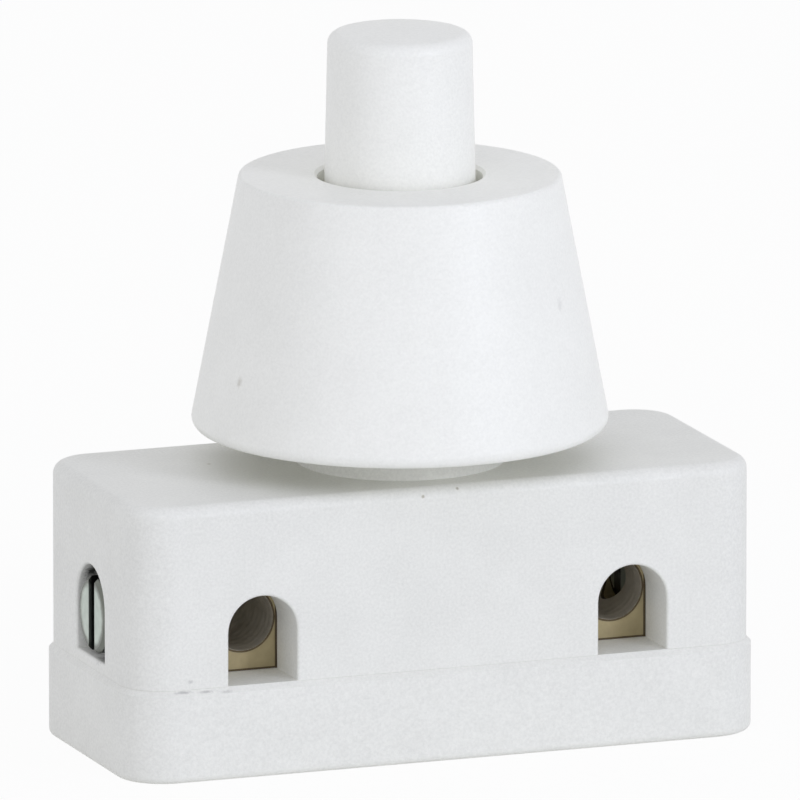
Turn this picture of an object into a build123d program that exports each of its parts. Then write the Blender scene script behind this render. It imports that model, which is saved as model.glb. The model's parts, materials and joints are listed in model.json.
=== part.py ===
"""Built-in push-button lamp switch with a conical cap nut.

Millimetres, +Z up. The origin is the middle of the base cover's underside, +X runs along the
body and the wire windows face -Y.
"""

import os
from math import cos, radians, sin

from build123d import *

# Body
body_length = 32.0  # base cover, along X
body_width = 13.6  # base cover, along Y
corner_radius = 2.4  # upright corners of the base cover
cover_height = 4.5  # underside to the seam
cover_step = 0.22  # the cover stands out past the housing all round
cover_bevel = 0.26  # bevel on the cover's upper edge
cover_foot_radius = 0.35  # rounding of the cover's lower edge
cover_floor = 1.2
body_height = 13.3  # underside to the housing's flat top
top_edge_radius = 0.6
side_wall = 1.28  # housing wall in front of and behind the chamber
roof = 1.5  # housing wall above the chamber
partition = 1.3  # housing wall between the chamber and a terminal
chamber_corner = 1.0
hole_edge_radius = 0.15  # rounding round the wire windows and screw holes

# Pins that locate the cover in the housing
pin_diameter = 1.4
pin_length = 2.0
pin_edge_distance = 1.75  # pin axis to the housing's side and end

# Terminals
terminal_setback = 6.45  # wire hole axis to the housing's end
wire_hole = 3.05
wire_axis_height = 2.5  # wire hole axis above the seam
window_width = 3.45
window_depth = 2.88  # housing front to the terminal block
block_inner_wall = 0.6  # brass between the wire hole and the contact strip
block_screw_wall = 2.15  # brass that the screw is threaded through
block_depth = 6.7
block_height = 4.8
seat_gap = 0.05  # between parts that seat in one another

# Terminal screws
screw_head_diameter = 3.7
screw_head_length = 1.0
screw_thread = 2.5
screw_recess = 0.08  # slotted end inside the housing's end face
screw_slot_width = 0.8
screw_slot_depth = 0.7
screw_tip_gap = 0.07  # backed-out tip to the wire hole
screw_edge = 0.18
screw_hole_width = 3.9
screw_hole_lift = 0.47  # arch centre above the screw axis
screw_hole_sill = 0.5  # lower edge of the hole above the seam

# Threaded neck
neck_diameter = 10.0
neck_height = 8.7
neck_bore = 7.7
collar_length = 1.4  # plain foot of the neck, where the panel sits
undercut_diameter = 9.2
undercut_length = 0.8
thread_allowance = 0.1  # the thread's crest is this much under the collar, on the diameter
neck_lead = 0.4

# Conical cap nut
nut_gap = 1.6  # housing top to nut, room for the panel
nut_height = 12.2
nut_base_diameter = 20.0  # before its rim is rounded
nut_top_diameter = 15.28
nut_base_radius = 0.5  # rounding of the lower rim
nut_rim_radius = 0.18
nut_wall = 1.5
nut_top_wall = 1.6
nut_hole = 7.87
nut_hole_bevel = 0.15
nut_thread_gap = 0.1
nut_relief = 0.3  # widening of the nut's bore over the collar
nut_sleeve_wall = 1.35
nut_core_height = 5.7
nut_core_taper = 0.25
nut_rib_count = 6
nut_rib_width = 0.9
nut_rib_setback = 1.3  # rib above the nut's lower rim

# Push button
button_diameter = 7.16
button_top_diameter = 6.86
button_rise = 7.0  # above the cap nut
button_dome = 0.22
button_edge_radius = 0.55
flange_thickness = 1.2
flange_gap = 0.25  # to the chamber's sides
stroke = 3.0

# Ratchet
tooth_count = 4
tooth_steps = 5  # straight facets along one ramp
tooth_gap = 0.2  # between the two sets of ramps
tooth_land = 0.1  # lowest height of a ramp above the rotor's plate
crown_wall = 1.6
rotor_plate = 1.0
rotor_running_gap = 0.1
drive_peg = 0.9
drive_peg_radius_at = 2.8

# Post and return spring
post_diameter = 4.0
post_foot_diameter = 5.2
post_foot_height = 1.0
post_rise = 0.5  # above the rotor's highest tooth
spring_wire = 0.4
spring_turns = 4
spring_length = 9.8
spring_play = 0.25  # spring to the wall of its bore
nub_play = 0.15  # spring to the nub inside it
nub_height = 1.5

# Contacts
strip_thickness = 0.4
strip_width = 2.2
strip_upright = 4.4  # along the terminal block, above the seam
contact_spacing = 8.0  # between the two fixed contacts
contact_diameter = 1.8
contact_height = 0.3
rivet_shank = 1.0
bridge_thickness = 0.35
bridge_ring_diameter = 6.8
bridge_arm_width = 2.0
bridge_arm_end = 0.9  # arm past the contact's centre
moving_contact_diameter = 1.6
contact_gap = 0.05  # left between the contacts with the button held down

# Worked-out sizes
housing_length = body_length - 2 * cover_step
housing_width = body_width - 2 * cover_step
housing_corner = corner_radius - cover_step
chamber_width = housing_width - 2 * side_wall
chamber_top = body_height - roof
neck_top = body_height + neck_height
thread_diameter = neck_diameter - thread_allowance

terminal_x = housing_length / 2 - terminal_setback
wire_z = cover_height + wire_axis_height
block_front = -housing_width / 2 + window_depth
block_middle = block_front + block_depth / 2
block_inner = terminal_x - wire_hole / 2 - block_inner_wall
block_outer = terminal_x + wire_hole / 2 + block_screw_wall
pocket_inner = block_inner - strip_thickness - seat_gap
pocket_outer = block_outer + seat_gap
chamber_length = 2 * (pocket_inner - partition)
pin_x = housing_length / 2 - pin_edge_distance
pin_y = housing_width / 2 - pin_edge_distance

strip_top = cover_floor + strip_thickness
fixed_contact_top = strip_top + contact_height
bridge_bottom = fixed_contact_top + contact_gap + contact_height
bridge_top = bridge_bottom + bridge_thickness
rotor_top = bridge_top + rotor_plate
ramp_low = rotor_top + tooth_land
ramp_high = ramp_low + stroke
crown_low = ramp_high + tooth_gap
rotor_bore = post_diameter + 2 * rotor_running_gap
spring_bore = post_diameter + 2 * rotor_running_gap + 2 * seat_gap
crown_diameter = spring_bore + 2 * crown_wall
post_top = ramp_high + post_rise
spring_top = post_top + spring_length
spring_diameter = spring_bore - 2 * spring_play - spring_wire
nub_diameter = spring_diameter - spring_wire - 2 * nub_play
cover_pocket_length = 2 * (block_inner + seat_gap)

nut_bottom = body_height + nut_gap
nut_top = nut_bottom + nut_height
nut_bore = thread_diameter + 2 * nut_thread_gap
nut_sleeve = nut_bore + 2 * nut_sleeve_wall
nut_slope = (nut_base_diameter - nut_top_diameter) / 2 / nut_height
nut_core_outer = nut_base_diameter / 2 - nut_wall
button_top = nut_top + button_rise

sides = ((-1, "left"), (1, "right"))

os.makedirs("parts", exist_ok=True)


def radial_plane(angle):
    """Upright plane through the axis: local x runs outwards, local y runs up."""
    turn = radians(angle)
    return Plane(origin=(0, 0, 0), x_dir=(cos(turn), sin(turn), 0), z_dir=(sin(turn), -cos(turn), 0))


def ramp_tooth(heights):
    """One saw tooth lofted through upright sections; heights(share) gives a section's lower and upper z."""
    inner = spring_bore / 4
    with BuildPart() as tooth:
        for step in range(tooth_steps + 1):
            share = step / tooth_steps
            low, high = heights(share)
            with BuildSketch(radial_plane(share * 360 / tooth_count)):
                with Locations((inner, low)):
                    Rectangle(crown_diameter, high - low, align=Align.MIN)
        loft(ruled=True)
        Cylinder(crown_diameter / 2, 2 * button_top, mode=Mode.INTERSECT)
    return tooth.part


# Saw teeth: the crown's hang from the button's flange, the rotor's stand on its plate
crown_tooth = ramp_tooth(lambda share: (crown_low + share * stroke, chamber_top - flange_thickness / 2))
rotor_tooth = ramp_tooth(lambda share: (rotor_top - rotor_plate / 2, ramp_low + share * stroke))


# Housing: a moulded block with the neck on top, open below
with BuildPart() as housing:
    with BuildSketch(Plane.XY.offset(cover_height)):
        RectangleRounded(housing_length, housing_width, housing_corner)
    extrude(amount=body_height - cover_height)
    fillet(housing.faces().sort_by(Axis.Z)[-1].edges(), top_edge_radius)

    # Neck: plain collar, undercut and threaded length
    with BuildSketch(Plane.XZ):
        with BuildLine():
            Polyline(
                (0, chamber_top),
                (neck_diameter / 2, chamber_top),
                (neck_diameter / 2, body_height + collar_length),
                (undercut_diameter / 2, body_height + collar_length),
                (undercut_diameter / 2, body_height + collar_length + undercut_length),
                (thread_diameter / 2, body_height + collar_length + undercut_length),
                (thread_diameter / 2, neck_top - neck_lead),
                (thread_diameter / 2 - neck_lead, neck_top),
                (0, neck_top),
                close=True,
            )
        make_face()
    revolve(axis=Axis.Z)
    with BuildSketch(Plane.XY.offset(chamber_top)):
        Circle(neck_bore / 2)
    extrude(amount=neck_top - chamber_top, mode=Mode.SUBTRACT)

    # Chamber for the switch works
    with BuildSketch(Plane.XY.offset(cover_height)):
        RectangleRounded(chamber_length, chamber_width, chamber_corner)
    extrude(amount=chamber_top - cover_height, mode=Mode.SUBTRACT)

    # Terminal pockets and pin holes, open to the cover
    with BuildSketch(Plane.XY.offset(cover_height)):
        for side, name in sides:
            with Locations((side * (pocket_inner + pocket_outer) / 2, block_middle)):
                Rectangle(pocket_outer - pocket_inner, block_depth + 2 * seat_gap)
    extrude(amount=block_height + seat_gap, mode=Mode.SUBTRACT)
    with BuildSketch(Plane.XY.offset(cover_height)):
        with GridLocations(2 * pin_x, 2 * pin_y, 2, 2):
            Circle(pin_diameter / 2 + seat_gap)
    extrude(amount=pin_length + seat_gap, mode=Mode.SUBTRACT)

    # Wire windows: arches that stand on the cover
    with BuildSketch(Plane.XZ.offset(housing_width / 2)):
        with Locations((-terminal_x, wire_z), (terminal_x, wire_z)):
            Circle(window_width / 2)
            Rectangle(window_width, wire_axis_height, align=(Align.CENTER, Align.MAX))
    extrude(amount=-window_depth, mode=Mode.SUBTRACT)
    front = housing.faces().filter_by(Axis.Y).sort_by(Axis.Y)[0]
    window_heads = front.edges().filter_by(GeomType.CIRCLE)
    window_sides = front.edges().filter_by(Axis.Z).filter_by(
        lambda edge: abs(edge.center().X) < terminal_x + window_width
    )
    fillet(window_heads + window_sides, hole_edge_radius)

    # Screw holes: arches with a sill, through both ends
    for side, name in sides:
        with BuildSketch(Plane.YZ.offset(side * housing_length / 2)):
            with Locations((block_middle, wire_z + screw_hole_lift)):
                Circle(screw_hole_width / 2)
                Rectangle(
                    screw_hole_width,
                    wire_axis_height + screw_hole_lift - screw_hole_sill,
                    align=(Align.CENTER, Align.MAX),
                )
        extrude(amount=-side * (housing_length / 2 - pocket_outer), mode=Mode.SUBTRACT)
        end_face = housing.faces().filter_by(Axis.X).sort_by(Axis.X)[0 if side < 0 else -1]
        fillet(end_face.inner_wires().edges(), hole_edge_radius)
housing.part.label = "housing"
export_step(housing.part, "parts/housing.step")


# Base cover: thick plate with a pocket for the contacts, a post and four locating pins
with BuildPart() as base_cover:
    with BuildSketch():
        RectangleRounded(body_length, body_width, corner_radius)
    extrude(amount=cover_height)
    chamfer(base_cover.faces().sort_by(Axis.Z)[-1].edges(), cover_bevel)
    fillet(base_cover.faces().sort_by(Axis.Z)[0].edges(), cover_foot_radius)
    with BuildSketch(Plane.XY.offset(cover_floor)):
        RectangleRounded(cover_pocket_length, chamber_width, chamber_corner)
    extrude(amount=cover_height - cover_floor, mode=Mode.SUBTRACT)
    with BuildSketch(Plane.XZ):
        with BuildLine():
            Polyline(
                (0, cover_floor / 2),
                (post_foot_diameter / 2, cover_floor / 2),
                (post_foot_diameter / 2, cover_floor + post_foot_height),
                (post_diameter / 2, cover_floor + post_foot_height),
                (post_diameter / 2, post_top),
                (nub_diameter / 2, post_top),
                (nub_diameter / 2, post_top + nub_height),
                (0, post_top + nub_height),
                close=True,
            )
        make_face()
    revolve(axis=Axis.Z)
    with BuildSketch(Plane.XY.offset(cover_height)):
        with GridLocations(2 * pin_x, 2 * pin_y, 2, 2):
            Circle(pin_diameter / 2)
    extrude(amount=pin_length)
base_cover.part.label = "base_cover"
export_step(base_cover.part, "parts/base_cover.step")


# Cap nut: a cone cored from below, with a threaded sleeve on six ribs
with BuildPart() as cap_nut:
    with BuildSketch(Plane.XZ):
        with BuildLine():
            Polyline(
                (0, nut_bottom),
                (nut_base_diameter / 2, nut_bottom),
                (nut_top_diameter / 2, nut_top),
                (0, nut_top),
                close=True,
            )
        make_face()
    revolve(axis=Axis.Z)
    rims = cap_nut.edges().filter_by(GeomType.CIRCLE).sort_by(Axis.Z)
    fillet(rims[0], nut_base_radius)
    fillet(cap_nut.edges().filter_by(GeomType.CIRCLE).sort_by(Axis.Z)[-1], nut_rim_radius)
    with BuildSketch(Plane.XZ):
        with BuildLine():
            Polyline(
                (0, nut_bottom),
                (nut_bore / 2 + nut_relief, nut_bottom),
                (nut_bore / 2 + nut_relief, nut_bottom + collar_length + nut_relief),
                (nut_bore / 2, nut_bottom + collar_length + 2 * nut_relief),
                (nut_bore / 2, nut_top - nut_top_wall),
                (nut_hole / 2, nut_top - nut_top_wall),
                (nut_hole / 2, nut_top - nut_hole_bevel),
                (nut_hole / 2 + nut_hole_bevel, nut_top),
                (0, nut_top),
                close=True,
            )
        make_face()
    revolve(axis=Axis.Z, mode=Mode.SUBTRACT)
    with BuildSketch(Plane.XZ):
        with BuildLine():
            Polyline(
                (nut_sleeve / 2, nut_bottom),
                (nut_core_outer, nut_bottom),
                (nut_core_outer - nut_slope * nut_core_height, nut_bottom + nut_core_height),
                (nut_sleeve / 2 + nut_core_taper, nut_bottom + nut_core_height),
                close=True,
            )
        make_face()
    revolve(axis=Axis.Z, mode=Mode.SUBTRACT)
    with BuildSketch(Plane.XY.offset(nut_bottom + nut_rib_setback)):
        with PolarLocations((nut_sleeve / 2 + nut_core_outer) / 2, nut_rib_count):
            Rectangle(nut_core_outer - nut_sleeve / 2 + nut_core_taper, nut_rib_width)
    extrude(amount=nut_core_height - nut_rib_setback)
cap_nut.part.label = "cap_nut"
export_step(cap_nut.part, "parts/cap_nut.step")


# Push button: domed head, stem through the neck, square flange and a crown of saw teeth
with BuildPart() as push_button:
    with BuildSketch(Plane.XZ):
        with BuildLine():
            foot = Line((0, chamber_top - flange_thickness), (button_diameter / 2, chamber_top - flange_thickness))
            stem = Line(foot @ 1, (button_diameter / 2, nut_top))
            head = Line(stem @ 1, (button_top_diameter / 2, button_top - button_dome))
            dome = ThreePointArc(
                head @ 1, (button_top_diameter / 4, button_top - button_dome / 4), (0, button_top)
            )
            Line(dome @ 1, foot @ 0)
        make_face()
    revolve(axis=Axis.Z)
    head_edges = push_button.edges().filter_by(lambda edge: edge.is_closed).sort_by(Axis.Z)
    fillet(head_edges[-1], button_edge_radius)
    with BuildSketch(Plane.XY.offset(chamber_top)):
        RectangleRounded(chamber_length - 2 * flange_gap, chamber_width - 2 * flange_gap, chamber_corner)
    extrude(amount=-flange_thickness)
    with PolarLocations(0, tooth_count):
        add(crown_tooth)
    with BuildSketch():
        Circle(spring_bore / 2)
    extrude(amount=spring_top, mode=Mode.SUBTRACT)
push_button.part.label = "push_button"
export_step(push_button.part, "parts/push_button.step")


# Return spring between the post's shoulder and the button
with BuildPart() as return_spring:
    wire_rise = spring_length - spring_wire
    with BuildLine():
        coil = Helix(
            pitch=wire_rise / spring_turns,
            height=wire_rise,
            radius=spring_diameter / 2,
            center=(0, 0, post_top + spring_wire / 2),
        )
    with BuildSketch(Plane(origin=coil @ 0, z_dir=coil % 0)):
        Circle(spring_wire / 2)
    sweep(is_frenet=True)
return_spring.part.label = "return_spring"
export_step(return_spring.part, "parts/return_spring.step")


# Ratchet rotor: plate with four ramps that the crown drives round, and two pegs for the bridge
with BuildPart() as ratchet_rotor:
    with BuildSketch(Plane.XY.offset(bridge_top)):
        Circle(crown_diameter / 2)
    extrude(amount=rotor_plate)
    with PolarLocations(0, tooth_count):
        add(rotor_tooth)
    with BuildSketch(Plane.XY.offset(bridge_top)):
        Circle(rotor_bore / 2)
    extrude(amount=ramp_high - bridge_top, mode=Mode.SUBTRACT)
    with BuildSketch(Plane.XY.offset(bridge_bottom)):
        with Locations((0, -drive_peg_radius_at), (0, drive_peg_radius_at)):
            Circle(drive_peg / 2)
    extrude(amount=bridge_thickness)
ratchet_rotor.part.label = "ratchet_rotor"
export_step(ratchet_rotor.part, "parts/ratchet_rotor.step")


# Contact bridge: ring round the post with two arms, across the body while the lamp is off
with BuildPart() as contact_bridge:
    with BuildSketch(Plane.XY.offset(bridge_bottom)):
        Circle(bridge_ring_diameter / 2)
        SlotOverall(contact_spacing + 2 * bridge_arm_end, bridge_arm_width, rotation=90)
        Circle(rotor_bore / 2, mode=Mode.SUBTRACT)
        with Locations((0, -drive_peg_radius_at), (0, drive_peg_radius_at)):
            Circle(drive_peg / 2 + seat_gap, mode=Mode.SUBTRACT)
    extrude(amount=bridge_thickness)
contact_bridge.part.label = "contact_bridge"
export_step(contact_bridge.part, "parts/contact_bridge.step")


# Two contact tips under the bridge's arms
with BuildPart() as bridge_contacts:
    with BuildSketch(Plane.XY.offset(bridge_bottom - contact_height)):
        with Locations((0, -contact_spacing / 2), (0, contact_spacing / 2)):
            Circle(moving_contact_diameter / 2)
    extrude(amount=contact_height)
bridge_contacts.part.label = "bridge_contacts"
export_step(bridge_contacts.part, "parts/bridge_contacts.step")


for side, name in sides:
    # Terminal block: brass with the wire hole from front to back and the screw's hole from its end
    with BuildPart() as terminal_block:
        with BuildSketch(Plane.XY.offset(cover_height)):
            with Locations((side * (block_inner + block_outer) / 2, block_middle)):
                Rectangle(block_outer - block_inner, block_depth)
        extrude(amount=block_height)
        with BuildSketch(Plane.XZ.offset(-block_front)):
            with Locations((side * terminal_x, wire_z)):
                Circle(wire_hole / 2)
        extrude(amount=-block_depth, mode=Mode.SUBTRACT)
        with BuildSketch(Plane.YZ.offset(side * block_outer)):
            with Locations((block_middle, wire_z)):
                Circle(screw_thread / 2 + seat_gap)
        extrude(amount=-side * (block_outer - terminal_x), mode=Mode.SUBTRACT)
    terminal_block.part.label = f"{name}_terminal_block"
    export_step(terminal_block.part, f"parts/{name}_terminal_block.step")

    # Terminal screw, backed out: slotted head outwards, tip just clear of the wire hole
    screw_out = housing_length / 2 - screw_recess
    screw_shoulder = screw_out - screw_head_length
    screw_tip = terminal_x + wire_hole / 2 + screw_tip_gap
    with BuildPart() as terminal_screw:
        with BuildSketch(Plane.YZ.offset(side * screw_tip)):
            with Locations((block_middle, wire_z)):
                Circle(screw_thread / 2)
        extrude(amount=side * (screw_shoulder - screw_tip))
        with BuildSketch(Plane.YZ.offset(side * screw_shoulder)):
            with Locations((block_middle, wire_z)):
                Circle(screw_head_diameter / 2)
        extrude(amount=side * screw_head_length)
        ends = terminal_screw.faces().filter_by(Axis.X).sort_by(Axis.X)
        chamfer(ends[0].edges() + ends[-1].edges(), screw_edge)
        with BuildSketch(Plane.YZ.offset(side * screw_out)):
            with Locations((block_middle, wire_z)):
                Rectangle(screw_slot_width, 2 * screw_head_diameter)
        extrude(amount=-side * screw_slot_depth, mode=Mode.SUBTRACT)
    terminal_screw.part.label = f"{name}_terminal_screw"
    export_step(terminal_screw.part, f"parts/{name}_terminal_screw.step")

    # Contact strip: bent brass, upright on the terminal block and flat on the cover's floor
    strip_end = contact_spacing / 2 - contact_diameter / 2
    with BuildPart() as contact_strip:
        with BuildSketch(Plane.XZ):
            with BuildLine():
                Polyline(
                    (side * strip_end, cover_floor),
                    (side * block_inner, cover_floor),
                    (side * block_inner, cover_height + strip_upright),
                    (side * (block_inner - strip_thickness), cover_height + strip_upright),
                    (side * (block_inner - strip_thickness), strip_top),
                    (side * strip_end, strip_top),
                    close=True,
                )
            make_face()
        extrude(amount=strip_width / 2, both=True)
        with BuildSketch(Plane.XY.offset(cover_floor)):
            with Locations((side * contact_spacing / 2, 0)):
                Circle(rivet_shank / 2 + seat_gap)
        extrude(amount=strip_thickness, mode=Mode.SUBTRACT)
    contact_strip.part.label = f"{name}_contact_strip"
    export_step(contact_strip.part, f"parts/{name}_contact_strip.step")

    # Fixed contact, riveted into the strip
    with BuildPart() as contact_rivet:
        with BuildSketch(Plane.XY.offset(cover_floor)):
            with Locations((side * contact_spacing / 2, 0)):
                Circle(rivet_shank / 2)
        extrude(amount=strip_thickness)
        with BuildSketch(Plane.XY.offset(strip_top)):
            with Locations((side * contact_spacing / 2, 0)):
                Circle(contact_diameter / 2)
        extrude(amount=contact_height)
    contact_rivet.part.label = f"{name}_contact_rivet"
    export_step(contact_rivet.part, f"parts/{name}_contact_rivet.step")
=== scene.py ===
"""Looks, light and camera for the push-button lamp switch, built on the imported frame."""

import json
import math

import bpy
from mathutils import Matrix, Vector


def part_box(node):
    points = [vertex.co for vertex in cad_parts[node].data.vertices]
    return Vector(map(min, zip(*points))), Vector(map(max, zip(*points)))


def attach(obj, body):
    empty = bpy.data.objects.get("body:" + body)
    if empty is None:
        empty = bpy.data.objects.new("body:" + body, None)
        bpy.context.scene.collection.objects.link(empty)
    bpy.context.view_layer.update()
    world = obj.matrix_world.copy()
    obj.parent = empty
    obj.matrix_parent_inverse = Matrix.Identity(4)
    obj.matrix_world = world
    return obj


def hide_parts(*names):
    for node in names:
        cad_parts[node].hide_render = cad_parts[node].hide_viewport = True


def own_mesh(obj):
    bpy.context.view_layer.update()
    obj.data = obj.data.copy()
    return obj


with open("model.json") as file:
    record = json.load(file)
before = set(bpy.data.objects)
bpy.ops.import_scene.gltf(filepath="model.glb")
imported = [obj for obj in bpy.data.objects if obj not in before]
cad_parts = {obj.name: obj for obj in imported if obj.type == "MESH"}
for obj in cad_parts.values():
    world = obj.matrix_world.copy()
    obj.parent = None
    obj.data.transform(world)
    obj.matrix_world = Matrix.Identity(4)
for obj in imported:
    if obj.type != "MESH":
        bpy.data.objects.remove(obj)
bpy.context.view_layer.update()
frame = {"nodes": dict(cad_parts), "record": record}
nodes = frame["nodes"]

MM = 0.001
MERGE_DISTANCE = 0.0005 * MM
SMOOTH_ANGLE = math.radians(32)

# Photograph's view, in degrees: turned to the left end, from a little above, through a long lens
VIEW_AZIMUTH = -20.5
VIEW_ELEVATION = 12.55
VIEW_DISTANCE = 1.2  # metres
VIEW_CENTRE = Vector((0.0, 0.0, 16.1 * MM))
PIXELS_PER_MM = 21.09
IMAGE_PIXELS = 800
SENSOR_MM = 36.0
CLIP_START = 0.01  # metres
CLIP_END = 10.0

# Light: strength of the world's fill from the sides and from above, and soft boxes, each with its
# azimuth and elevation in degrees, distance and size in metres, watts and colour
SIDE_FILL = 0.765
TOP_FILL = 0.655
FILL_COLOUR = "#F8F9FF"
SOFT_BOXES = {
    "key": (30, 18, 0.6, 0.12, 0.86, "#EDF1FF"),
    "left_fill": (-45, 12, 0.7, 0.5, 0.61, FILL_COLOUR),
}
DIFFUSE_BOUNCES = 12  # white surfaces light each other in the gaps, over more than the usual four
FLOOR_SIZE = 4.0  # metres
FLOOR_COLOUR = "#F0F0EE"
FLOOR_WHITE = 0.94  # share of plain white in the floor as it is seen; the rest keeps the shadow

# Threads, in millimetres; each span holds whole turns
NECK_THREAD_RADIUS = 4.95
NECK_THREAD_SPAN = (15.1, 23.1)  # from below the undercut at the neck's foot to past its top
NUT_BORE_RADIUS = 5.05
NUT_THREAD_SPAN = (16.4, 24.4)  # from below the nut's bore to just under the bore's end
NECK_PITCH = 1.0
NECK_THREAD_DEPTH = 0.34
SCREW_THREAD_RADIUS = 1.25
SCREW_THREAD_SPAN = (10.75, 14.35)  # from past the screw's tip to just short of its head
SCREW_PITCH = 0.45
SCREW_THREAD_DEPTH = 0.24
FLANK_ANGLE = math.radians(30)
CREST_SHARE = 0.2  # of the pitch, left flat on a crest
CUTTER_OVERLAP = 0.06  # cutter past the wall that it cuts
THREAD_STEPS = 40  # straight lengths in one turn

# Terminals, and the dirt and painted shade on them, in millimetres; a cover is a share of full
# darkening
WINDOW_HALF_WIDTH = 1.725
SILL_DROP = 2.5  # from the wire hole's line to the window's sill
# Painted shade: a dark line along the brass's edges
EDGE_SHADE_REACH = 0.1  # to either side of an edge on the brass
BORE_MARGIN = 0.004  # round a drilled wall, so that all of it takes the drilled finish
SAW_MARK_SPACING = 0.5236
SLOT_HALF_WIDTH = 0.42
SLOT_DIRT_AND_SHADE_DEPTHS = (0.03, 0.2)  # under the screw's face, where dirt and painted shade begin and where they are full
SLOT_DIRT_AND_SHADE_COVER = 0.95
RIM_DIRT_AND_SHADE_RADII = (1.5, 1.75)  # from the screw's line, where dirt and painted shade begin and where they are full
RIM_DIRT_AND_SHADE_RAGGED = 0.35
RIM_DIRT_AND_SHADE_COVER = 0.85

# Noise and wave textures
CLOUDY = {"Detail": 3.0, "Roughness": 0.6}
WAVES_PER_UNIT = 20 / math.tau  # in a wave texture of scale 1


# Colours and nodes


def linear(hex_colour):
    """A written sRGB colour as linear RGBA."""
    channels = [int(hex_colour[i:i + 2], 16) / 255 for i in (1, 3, 5)]
    return tuple(
        c / 12.92 if c <= 0.04045 else ((c + 0.055) / 1.055) ** 2.4 for c in channels
    ) + (1.0,)


def add_node(material, kind, settings=(), values=(), links=()):
    """Adds a node; settings are attributes, values fill sockets and links feed them."""
    tree = material.node_tree
    node = tree.nodes.new(kind)
    for name, value in dict(settings).items():
        setattr(node, name, value)
    for socket, value in dict(values).items():
        node.inputs[socket].default_value = value
    for socket, source in dict(links).items():
        tree.links.new(source, node.inputs[socket])
    return node


def new_material(name, metallic, pattern_sizes=()):
    """Material with its shader, Object coordinates in millimetres and cloudy patterns.

    A pattern goes from 0 to 1, and its size is that of its blotches in millimetres.
    """
    material = bpy.data.materials.new(name)
    material.use_nodes = True
    material.node_tree.nodes.clear()
    shader = add_node(material, "ShaderNodeBsdfPrincipled", values={"Metallic": metallic})
    add_node(material, "ShaderNodeOutputMaterial", links={"Surface": shader.outputs["BSDF"]})
    coordinates = add_node(material, "ShaderNodeTexCoord")
    place = add_node(
        material, "ShaderNodeMapping",
        values={"Scale": (1 / MM, 1 / MM, 1 / MM)},
        links={"Vector": coordinates.outputs["Object"]},
    ).outputs["Vector"]
    patterns = [
        add_node(
            material, "ShaderNodeTexNoise",
            values={**CLOUDY, "Scale": 1 / size}, links={"Vector": place},
        ).outputs["Fac"]
        for size in pattern_sizes
    ]
    return material, shader, place, patterns


def coat(material, shader, tint, colours, sheen, roughness, height, depth):
    """Gives a material its colour, gloss and relief, each from a pattern that goes from 0 to 1.

    Colours and roughness are the two ends, and depth is in millimetres.
    """
    coloured = add_node(
        material, "ShaderNodeMix", settings={"data_type": "RGBA"},
        values={6: linear(colours[0]), 7: linear(colours[1])}, links={0: tint},
    )
    graded = add_node(
        material, "ShaderNodeMapRange",
        values={"To Min": roughness[0], "To Max": roughness[1]}, links={"Value": sheen},
    )
    raised = add_node(
        material, "ShaderNodeBump", values={"Distance": depth * MM}, links={"Height": height}
    )
    for socket, source in (
        ("Base Color", coloured.outputs[2]),
        ("Roughness", graded.outputs[0]),
        ("Normal", raised.outputs["Normal"]),
    ):
        material.node_tree.links.new(source, shader.inputs[socket])


def stain(material, shader, share, colour):
    """Lays a stain over the colour that the shader has so far, as strongly as share says."""
    base = shader.inputs["Base Color"]
    stained = add_node(
        material, "ShaderNodeMix", settings={"data_type": "RGBA"},
        values={7: linear(colour)}, links={0: share, 6: base.links[0].from_socket},
    )
    material.node_tree.links.new(stained.outputs[2], base)


def around(material, place, centre, across):
    """Place relative to a centre as X, Y and Z, and how far it is from a line through the centre.

    Across holds 1 for the two axes square to the line and 0 for the axis along it.
    """
    away = add_node(
        material, "ShaderNodeVectorMath", settings={"operation": "SUBTRACT"},
        values={1: centre}, links={0: place},
    ).outputs[0]
    parts = add_node(material, "ShaderNodeSeparateXYZ", links={0: away})
    flat = add_node(
        material, "ShaderNodeVectorMath", settings={"operation": "MULTIPLY"},
        values={1: across}, links={0: away},
    )
    reach = add_node(
        material, "ShaderNodeVectorMath", settings={"operation": "LENGTH"},
        links={0: flat.outputs[0]},
    )
    return parts.outputs, reach.outputs["Value"]


# Materials

# Marks on the moulding: centre, half-sizes in millimetres and how strongly each shows
BROWN_SPECKS = (
    ((-9.03, -2.50, 18.18), (0.26, 0.24, 0.34), 0.30),
    ((-8.97, 1.87, 13.30), (0.14, 0.14, 0.10), 0.55),
    ((-1.28, -6.54, 12.90), (0.11, 0.11, 0.11), 0.60),
    ((0.49, -6.40, 13.12), (0.11, 0.11, 0.11), 0.60),
    ((-8.29, 3.00, 20.98), (0.15, 0.15, 0.20), 0.35),
)
# Grey marks: the first is painted shade in a dent on the nut's cone, the rest are smudges of dirt
# along the seam
GREY_SMUDGES_AND_DENT_SHADE = (
    ((5.55, -6.68, 21.67), (0.26, 0.26, 0.48), 0.16),
    ((-13.40, -6.64, 4.40), (0.55, 0.12, 0.10), 0.50),
    ((-12.25, -6.68, 4.36), (0.45, 0.12, 0.10), 0.50),
    ((-11.20, -6.74, 4.30), (0.45, 0.12, 0.10), 0.30),
    ((-12.99, -6.58, 4.88), (0.16, 0.12, 0.12), 0.45),
)
# Painted shade in the left screw's hole, above its head and down by the sill
PAINTED_HOLE_SHADE = (
    ((-15.12, 1.08, 8.76), (0.48, 0.70, 0.70), 1.00),
    ((-15.20, -1.40, 4.95), (0.60, 0.80, 0.45), 0.70),
)
MARK_RAGGED_SIZE = 0.15  # millimetres
MARK_EDGE = (0.7, 1.5)  # half-sizes and raggedness together, where a mark is full and where it ends


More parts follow.
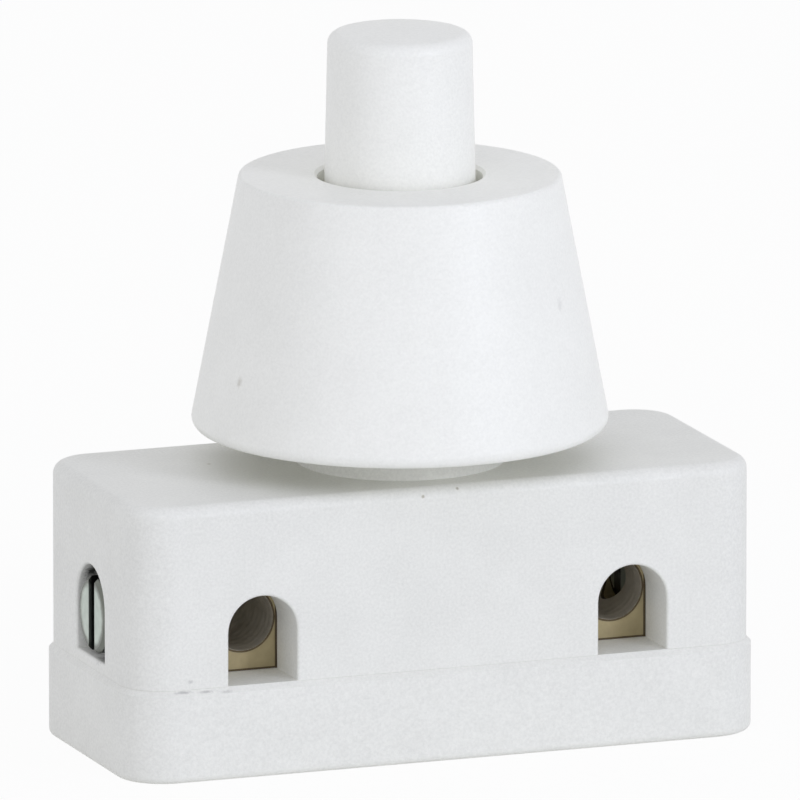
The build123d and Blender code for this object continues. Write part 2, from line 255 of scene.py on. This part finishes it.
def mark(material, shader, place, marks, colour):
    """Lays small marks with soft, ragged edges over a material."""
    ragged = add_node(
        material, "ShaderNodeTexNoise",
        values={"Scale": 1 / MARK_RAGGED_SIZE, "Detail": 2.0}, links={"Vector": place},
    )
    for centre, half_sizes, strength in marks:
        away = add_node(
            material, "ShaderNodeVectorMath", settings={"operation": "SUBTRACT"},
            values={1: centre}, links={0: place},
        )
        scaled = add_node(
            material, "ShaderNodeVectorMath", settings={"operation": "DIVIDE"},
            values={1: half_sizes}, links={0: away.outputs[0]},
        )
        reach = add_node(
            material, "ShaderNodeVectorMath", settings={"operation": "LENGTH"},
            links={0: scaled.outputs[0]},
        )
        uneven = add_node(
            material, "ShaderNodeMath", settings={"operation": "ADD"},
            links={0: reach.outputs["Value"], 1: ragged.outputs["Fac"]},
        )
        cover = add_node(
            material, "ShaderNodeMapRange",
            values={
                "From Min": MARK_EDGE[0], "From Max": MARK_EDGE[1],
                "To Min": strength, "To Max": 0.0,
            },
            links={"Value": uneven.outputs[0]},
        )
        stain(material, shader, cover.outputs[0], colour)


def moulded_white(name, colours, roughness, grain_depth):
    """White thermoset moulding: satin, faintly cloudy, with a fine grain and a few specks.

    The spark-eroded grain of the real one is finer; here it is as coarse as it needs to show.
    """
    material, shader, place, (clouds, grain) = new_material(
        name, metallic=0.0, pattern_sizes=(3.0, 0.14)
    )
    cloud_share = 0.3
    mottled = add_node(
        material, "ShaderNodeMix", values={0: cloud_share}, links={2: grain, 3: clouds}
    )
    # Noise seldom reaches 0 or 1, so its usual range is drawn out
    mottling = add_node(
        material, "ShaderNodeMapRange",
        values={"From Min": 0.2, "From Max": 0.8}, links={"Value": mottled.outputs[0]},
    ).outputs[0]
    coat(
        material, shader, tint=mottling, colours=colours,
        sheen=mottling, roughness=roughness, height=grain, depth=grain_depth,
    )
    mark(material, shader, place, BROWN_SPECKS, "#8A7F62")
    # Grey smudges of dirt along the seam, and painted shade in a dent on the nut
    mark(material, shader, place, GREY_SMUDGES_AND_DENT_SHADE, "#8E8C8E")
    # Painted shade in the left screw's hole, above and below its head
    mark(material, shader, place, PAINTED_HOLE_SHADE, "#3C3D3A")
    return material


def natural_nylon():
    """Unpigmented nylon of the hidden rotor: creamy and milky."""
    material, shader, _, (clouds, grain) = new_material(
        "natural_nylon", metallic=0.0, pattern_sizes=(1.5, 0.2)
    )
    coat(
        material, shader, tint=clouds, colours=("#E2DCC8", "#EBE6D6"),
        sheen=clouds, roughness=(0.50, 0.40), height=grain, depth=0.006,
    )
    return material


def dull_brass():
    """Sawn and drilled brass gone dull: khaki with darker stains and saw marks.

    Painted shade lies round the wire hole and along the brass's edges in the window's corners, and
    the drilled wall is greyer.
    """
    material, shader, place, _ = new_material("dull_machined_brass", metallic=0.6)
    stain_size = 0.7
    stains = add_node(
        material, "ShaderNodeTexNoise",
        values={**CLOUDY, "Scale": 1 / stain_size, "Detail": 4.0}, links={"Vector": place},
    ).outputs["Fac"]
    saw_marks = add_node(
        material, "ShaderNodeTexWave", settings={"bands_direction": "Y"},
        values={
            "Scale": 1 / (SAW_MARK_SPACING * WAVES_PER_UNIT), "Distortion": 1.2, "Detail": 2.0,
        },
        links={"Vector": place},
    )
    coat(
        material, shader, tint=stains, colours=("#968A6C", "#BAAC86"),
        sheen=stains, roughness=(0.56, 0.40), height=saw_marks.outputs["Fac"], depth=0.02,
    )
    # Both blocks lie the same way from the middle, so one material serves them
    either_end = add_node(
        material, "ShaderNodeVectorMath", settings={"operation": "ABSOLUTE"}, links={0: place}
    )
    hole = next(m for m in frame["record"]["mounts"] if m["name"] == "right_wire_hole")
    radius = hole["dims"]["r_mm"]
    parts, reach = around(
        material, either_end.outputs[0], [c / MM for c in hole["pos_m"]], across=(1.0, 0.0, 1.0)
    )
    sideways = add_node(
        material, "ShaderNodeMath", settings={"operation": "ABSOLUTE"}, links={0: parts["X"]}
    )
    # Painted shade: dark lines round the wire hole's rim and along the brass's edges at the
    # window's sides and sill
    for distance, edge in (
        (reach, radius),
        (sideways.outputs[0], WINDOW_HALF_WIDTH),
        (parts["Z"], -SILL_DROP),
    ):
        edge_shade = add_node(
            material, "ShaderNodeMath", settings={"operation": "COMPARE"},
            values={1: edge, 2: EDGE_SHADE_REACH}, links={0: distance},
        )
        stain(material, shader, edge_shade.outputs[0], "#5A4E3A")
    drilled = add_node(
        material, "ShaderNodeMath", settings={"operation": "LESS_THAN"},
        values={1: radius + BORE_MARGIN}, links={0: reach},
    ).outputs[0]
    pale = add_node(
        material, "ShaderNodeMath", settings={"operation": "MULTIPLY"},
        links={0: drilled, 1: stains},
    )
    stain(material, shader, drilled, "#C4BDAF")
    stain(material, shader, pale.outputs[0], "#DCD6CA")
    return material


def rolled_brass():
    """Rolled brass strip of the hidden contacts: brighter, with fine rolling lines along it."""
    material, shader, place, (clouds,) = new_material(
        "rolled_brass_strip", metallic=1.0, pattern_sizes=(1.2,)
    )
    line_width = 0.12
    line_length = 2.0
    drawn_out = add_node(
        material, "ShaderNodeMapping",
        values={"Scale": (line_width / line_length, 1.0, 1.0)}, links={"Vector": place},
    )
    lines = add_node(
        material, "ShaderNodeTexNoise",
        values={**CLOUDY, "Scale": 1 / line_width}, links={"Vector": drawn_out.outputs["Vector"]},
    ).outputs["Fac"]
    coat(
        material, shader, tint=clouds, colours=("#B79F62", "#CDB679"),
        sheen=lines, roughness=(0.40, 0.24), height=lines, depth=0.004,
    )
    return material


def zinc_plate(side):
    """Zinc-plated turned steel of a screw: pale grey green, with a fine grain.

    Dirt and painted shade lie in its slot, darker deeper down, and round the rim of its head.
    """
    material, shader, place, (spangle, grain, ragged) = new_material(
        f"zinc_plated_steel_{side}", metallic=1.0, pattern_sizes=(0.4, 0.1, 0.3)
    )
    coat(
        material, shader, tint=spangle, colours=("#A3ADA5", "#C6CEC7"),
        sheen=spangle, roughness=(0.42, 0.30), height=grain, depth=0.004,
    )
    low, high = (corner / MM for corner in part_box(f"{side}_terminal_screw"))
    face = low.x if side == "left" else high.x
    parts, reach = around(
        material, place, (face, (low.y + high.y) / 2, (low.z + high.z) / 2), across=(0.0, 1.0, 1.0)
    )
    # Dirt and painted shade round the rim of the head, where it sits in its hole
    uneven = add_node(
        material, "ShaderNodeMath", settings={"operation": "MULTIPLY_ADD"},
        values={1: RIM_DIRT_AND_SHADE_RAGGED}, links={0: ragged, 2: reach},
    )
    rim = add_node(
        material, "ShaderNodeMapRange",
        values={
            "From Min": RIM_DIRT_AND_SHADE_RADII[0], "From Max": RIM_DIRT_AND_SHADE_RADII[1],
            "To Max": RIM_DIRT_AND_SHADE_COVER,
        },
        links={"Value": uneven.outputs[0]},
    )
    stain(material, shader, rim.outputs[0], "#5C5D57")
    # Dirt and painted shade in the slot, darker the deeper it lies
    depth, sideways = (
        add_node(
            material, "ShaderNodeMath", settings={"operation": "ABSOLUTE"}, links={0: parts[axis]}
        ).outputs[0]
        for axis in ("X", "Y")
    )
    sunk = add_node(
        material, "ShaderNodeMapRange",
        values={
            "From Min": SLOT_DIRT_AND_SHADE_DEPTHS[0], "From Max": SLOT_DIRT_AND_SHADE_DEPTHS[1],
            "To Max": SLOT_DIRT_AND_SHADE_COVER,
        },
        links={"Value": depth},
    )
    within = add_node(
        material, "ShaderNodeMath", settings={"operation": "LESS_THAN"},
        values={1: SLOT_HALF_WIDTH}, links={0: sideways},
    )
    slot = add_node(
        material, "ShaderNodeMath", settings={"operation": "MULTIPLY"},
        links={0: sunk.outputs[0], 1: within.outputs[0]},
    )
    stain(material, shader, slot.outputs[0], "#30312F")
    return material


def spring_steel():
    """Drawn spring wire: dark bright grey, with a faint grain from the die."""
    material, shader, _, (clouds, grain) = new_material(
        "drawn_spring_steel", metallic=1.0, pattern_sizes=(0.5, 0.08)
    )
    coat(
        material, shader, tint=clouds, colours=("#8D9093", "#A9ACAF"),
        sheen=clouds, roughness=(0.34, 0.22), height=grain, depth=0.003,
    )
    return material


def contact_silver():
    """Silver contact tips: pale, lightly tarnished, and duller where they are."""
    material, shader, _, (tarnish, grain) = new_material(
        "tarnished_contact_silver", metallic=1.0, pattern_sizes=(0.4, 0.1)
    )
    coat(
        material, shader, tint=tarnish, colours=("#C9C6BC", "#E0DED8"),
        sheen=tarnish, roughness=(0.46, 0.30), height=grain, depth=0.003,
    )
    return material


case_white = moulded_white(
    "white_urea_moulding", ("#E0E0DB", "#F7F7F2"), roughness=(0.56, 0.44), grain_depth=0.010
)
cap_white = moulded_white(
    "bright_white_urea_moulding", ("#EFEFEA", "#FFFFFA"), roughness=(0.52, 0.40), grain_depth=0.008
)
brass = dull_brass()
strip_brass = rolled_brass()
silver = contact_silver()

finishes = {
    "housing": case_white,
    "base_cover": case_white,
    "cap_nut": cap_white,
    "push_button": cap_white,
    "ratchet_rotor": natural_nylon(),
    "return_spring": spring_steel(),
    "contact_bridge": strip_brass,
    "bridge_contacts": silver,
}
for side in ("left", "right"):
    finishes[f"{side}_terminal_block"] = brass
    finishes[f"{side}_terminal_screw"] = zinc_plate(side)
    finishes[f"{side}_contact_strip"] = strip_brass
    finishes[f"{side}_contact_rivet"] = silver


def dress(piece, material):
    """Gives a piece its finish."""
    piece.data.materials.clear()
    piece.data.materials.append(material)


for name, finish in finishes.items():
    dress(nodes[name], finish)


# Threads


def only(piece):
    """Leaves one piece selected and active."""
    bpy.ops.object.select_all(action="DESELECT")
    piece.select_set(True)
    bpy.context.view_layer.objects.active = piece


def apply_modifier(piece, kind, **settings):
    """Adds a modifier and applies it."""
    modifier = piece.modifiers.new(kind.lower(), kind)
    for name, value in settings.items():
        setattr(modifier, name, value)
    only(piece)
    bpy.ops.object.modifier_apply(modifier=modifier.name)


def groove_cutter(wall, floor, pitch, span):
    """Bar wound round Z that cuts a V groove into a wall, from its radius to the groove's floor."""
    start, end = span
    inwards = math.copysign(1.0, floor - wall)
    mouth = wall - inwards * CUTTER_OVERLAP
    slope = math.tan(FLANK_ANGLE)
    wall_half = pitch * (1 - CREST_SHARE) / 2
    mouth_half = wall_half + CUTTER_OVERLAP * slope
    floor_half = wall_half - abs(floor - wall) * slope
    bpy.ops.object.select_all(action="DESELECT")
    bpy.ops.mesh.primitive_plane_add(size=2 * MM)
    cutter = bpy.context.object
    for corner in cutter.data.vertices:
        at_mouth = corner.co.x < 0
        half = mouth_half if at_mouth else floor_half
        rise = start + math.copysign(half, corner.co.y)
        corner.co = Vector((mouth if at_mouth else floor, 0.0, rise)) * MM
    bpy.ops.object.mode_set(mode="EDIT")
    bpy.ops.mesh.select_all(action="SELECT")
    bpy.ops.mesh.delete(type="ONLY_FACE")
    bpy.ops.object.mode_set(mode="OBJECT")
    apply_modifier(
        cutter, "SCREW", axis="Z", angle=math.tau, screw_offset=pitch * MM,
        iterations=round((end - start) / pitch), steps=THREAD_STEPS, render_steps=THREAD_STEPS,
    )
    bpy.ops.object.mode_set(mode="EDIT")
    bpy.ops.mesh.select_all(action="SELECT")
    bpy.ops.mesh.fill_holes(sides=4)
    bpy.ops.mesh.normals_make_consistent(inside=False)
    bpy.ops.object.mode_set(mode="OBJECT")
    return cutter


def merged_copy(node, name):
    """Copy of a CAD piece as one joined mesh."""
    piece = bpy.data.objects.new(name, nodes[node].data.copy())
    bpy.context.scene.collection.objects.link(piece)
    only(piece)
    bpy.ops.object.mode_set(mode="EDIT")
    bpy.ops.mesh.select_all(action="SELECT")
    bpy.ops.mesh.remove_doubles(threshold=MERGE_DISTANCE)
    bpy.ops.object.mode_set(mode="OBJECT")
    bpy.ops.mesh.customdata_custom_splitnormals_clear()
    return piece


def threaded(node, body, cutter):
    """Copy of a plain CAD piece with a thread's groove cut into it, which stands for that piece."""
    piece = merged_copy(node, f"threaded_{node}")
    apply_modifier(piece, "BOOLEAN", operation="DIFFERENCE", solver="EXACT", object=cutter)
    bpy.data.objects.remove(cutter, do_unlink=True)
    only(piece)
    bpy.ops.object.shade_smooth_by_angle(angle=SMOOTH_ANGLE)
    apply_modifier(piece, "WEIGHTED_NORMAL", keep_sharp=True)
    dress(piece, finishes[node])
    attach(piece, body)
    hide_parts(node)


def lay_along_screw(cutter, side, direction):
    """Lays a cutter wound round Z along a terminal screw's own line."""
    low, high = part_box(f"{side}_terminal_screw")
    cutter.rotation_euler = (0.0, math.radians(90 * direction), 0.0)
    cutter.location = (0.0, (low.y + high.y) / 2, (low.z + high.z) / 2)
    only(cutter)
    bpy.ops.object.transform_apply(location=True, rotation=True, scale=False)
    return cutter


threaded("housing", "body", groove_cutter(
    NECK_THREAD_RADIUS, NECK_THREAD_RADIUS - NECK_THREAD_DEPTH, NECK_PITCH, NECK_THREAD_SPAN
))
threaded("cap_nut", "nut", groove_cutter(
    NUT_BORE_RADIUS, NUT_BORE_RADIUS + NECK_THREAD_DEPTH, NECK_PITCH, NUT_THREAD_SPAN
))
for side, direction in (("left", -1), ("right", 1)):
    winding = groove_cutter(
        SCREW_THREAD_RADIUS, SCREW_THREAD_RADIUS - SCREW_THREAD_DEPTH,
        SCREW_PITCH, SCREW_THREAD_SPAN,
    )
    laid = lay_along_screw(winding, side, direction)
    threaded(f"{side}_terminal_screw", f"{side}_screw", laid)


# Return spring


def shortening_spring():
    """Copy of the return spring as one smooth-shaded mesh of its own, fixed to the body."""
    spring = merged_copy("return_spring", "shortening_return_spring")
    bpy.ops.object.shade_smooth_by_angle(angle=SMOOTH_ANGLE)
    dress(spring, finishes["return_spring"])
    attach(spring, "body")
    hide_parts("return_spring")
    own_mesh(spring)


shortening_spring()


# Stage


def seen(material):
    """Gives 1 to rays from the camera, straight or by way of a reflection or a clear piece."""
    rays = add_node(material, "ShaderNodeLightPath").outputs
    indirect = add_node(
        material, "ShaderNodeMath", settings={"operation": "MAXIMUM"},
        links={0: rays["Is Glossy Ray"], 1: rays["Is Transmission Ray"]},
    )
    return add_node(
        material, "ShaderNodeMath", settings={"operation": "MAXIMUM"},
        links={0: rays["Is Camera Ray"], 1: indirect.outputs[0]},
    ).outputs[0]


def make_floor():
    """Plain pale floor: white to the camera, with the object's soft shadow kept."""
    bpy.ops.mesh.primitive_plane_add(size=FLOOR_SIZE, location=(0, 0, 0))
    floor = bpy.context.object
    floor.name = "floor"
    material = bpy.data.materials.new("pale_floor")
    material.use_nodes = True
    material.node_tree.nodes.clear()
    matt = add_node(material, "ShaderNodeBsdfDiffuse", values={"Color": linear(FLOOR_COLOUR)})
    glow = add_node(
        material, "ShaderNodeEmission", values={"Color": (1, 1, 1, 1), "Strength": 1.0}
    )
    share = add_node(
        material, "ShaderNodeMath", settings={"operation": "MULTIPLY"},
        values={1: FLOOR_WHITE}, links={0: seen(material)},
    )
    mix = add_node(
        material, "ShaderNodeMixShader",
        links={0: share.outputs[0], 1: matt.outputs[0], 2: glow.outputs[0]},
    )
    add_node(material, "ShaderNodeOutputMaterial", links={"Surface": mix.outputs[0]})
    floor.data.materials.append(material)


def make_world():
    """White to the camera, and soft light to the object, stronger from the sides than above."""
    world = bpy.data.worlds.new("studio")
    bpy.context.scene.world = world
    world.use_nodes = True
    world.node_tree.nodes.clear()
    coordinates = add_node(world, "ShaderNodeTexCoord")
    parts = add_node(
        world, "ShaderNodeSeparateXYZ", links={0: coordinates.outputs["Generated"]}
    )
    grade = add_node(
        world, "ShaderNodeMapRange",
        values={"To Min": SIDE_FILL, "To Max": TOP_FILL}, links={"Value": parts.outputs["Z"]},
    )
    fill = add_node(
        world, "ShaderNodeBackground",
        values={"Color": linear(FILL_COLOUR)}, links={"Strength": grade.outputs[0]},
    )
    plain = add_node(
        world, "ShaderNodeBackground", values={"Color": (1, 1, 1, 1), "Strength": 1.0}
    )
    mix = add_node(
        world, "ShaderNodeMixShader",
        links={0: seen(world), 1: fill.outputs[0], 2: plain.outputs[0]},
    )
    add_node(world, "ShaderNodeOutputWorld", links={"Surface": mix.outputs[0]})


def aim(holder, azimuth, elevation, distance):
    """Puts a lamp or the camera round the object, looking at it; azimuth 0 faces the windows."""
    a = math.radians(azimuth)
    e = math.radians(elevation)
    back = Vector((math.sin(a) * math.cos(e), -math.cos(a) * math.cos(e), math.sin(e)))
    holder.location = VIEW_CENTRE + back * distance
    holder.rotation_euler = (-back).to_track_quat("-Z", "Y").to_euler()
    bpy.context.scene.collection.objects.link(holder)


def soft_box(name, azimuth, elevation, distance, size, watts, colour):
    """Square lamp that looks at the object."""
    light = bpy.data.lights.new(name, "AREA")
    light.size = size
    light.energy = watts
    light.color = linear(colour)[:3]
    aim(bpy.data.objects.new(name, light), azimuth, elevation, distance)


def make_camera():
    """Long lens at the photograph's angle, framed as the photograph is."""
    camera = bpy.data.cameras.new("camera")
    camera.sensor_fit = "HORIZONTAL"
    camera.sensor_width = SENSOR_MM
    camera.lens = PIXELS_PER_MM * (VIEW_DISTANCE / MM) * SENSOR_MM / IMAGE_PIXELS
    camera.clip_start = CLIP_START
    camera.clip_end = CLIP_END
    holder = bpy.data.objects.new("camera", camera)
    aim(holder, VIEW_AZIMUTH, VIEW_ELEVATION, VIEW_DISTANCE)
    bpy.context.scene.camera = holder


make_floor()
make_world()
for name, settings in SOFT_BOXES.items():
    soft_box(name, *settings)
make_camera()
bpy.context.scene.view_settings.view_transform = "Standard"
bpy.context.scene.cycles.diffuse_bounces = DIFFUSE_BOUNCES
